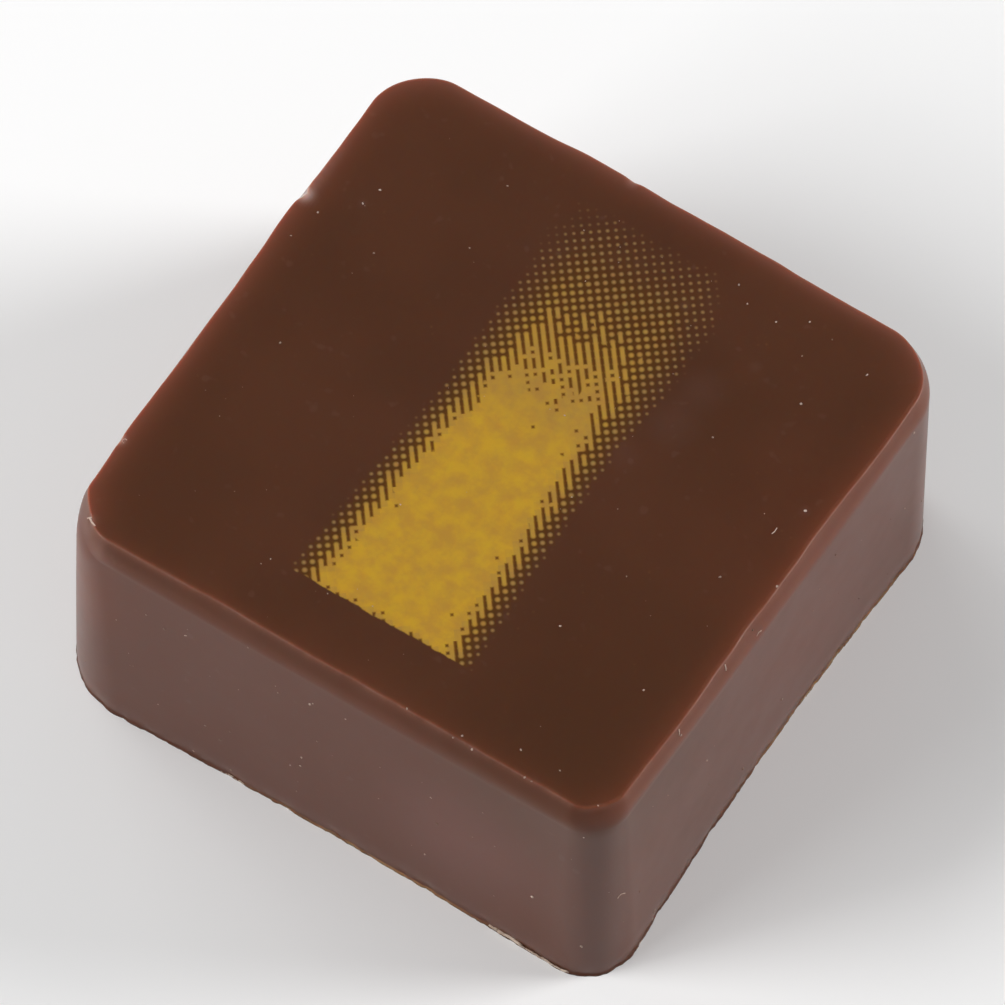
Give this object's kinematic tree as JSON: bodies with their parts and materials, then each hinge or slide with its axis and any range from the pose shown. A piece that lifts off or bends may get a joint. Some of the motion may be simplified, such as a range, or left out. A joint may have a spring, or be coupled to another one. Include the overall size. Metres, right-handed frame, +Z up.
{
  "type": "chocolate bonbon",
  "caption": "Square moulded chocolate bonbon with round corners, a flat base to rest on, and a flat top that carries a gold dotted stripe which fades out.",
  "frame": {"origin": "middle of the flat underside", "axes": "+Z up through the printed top, +Y along the stripe towards its faded end, +X across it"},
  "size_m": [0.027, 0.0268, 0.0124],
  "materials": {
    "chocolate": "satin moulded milk-dark chocolate, with a flush gold print on the top"
  },
  "bodies": {
    "root": {"bonbon": "chocolate"}
  },
  "joints": []
}
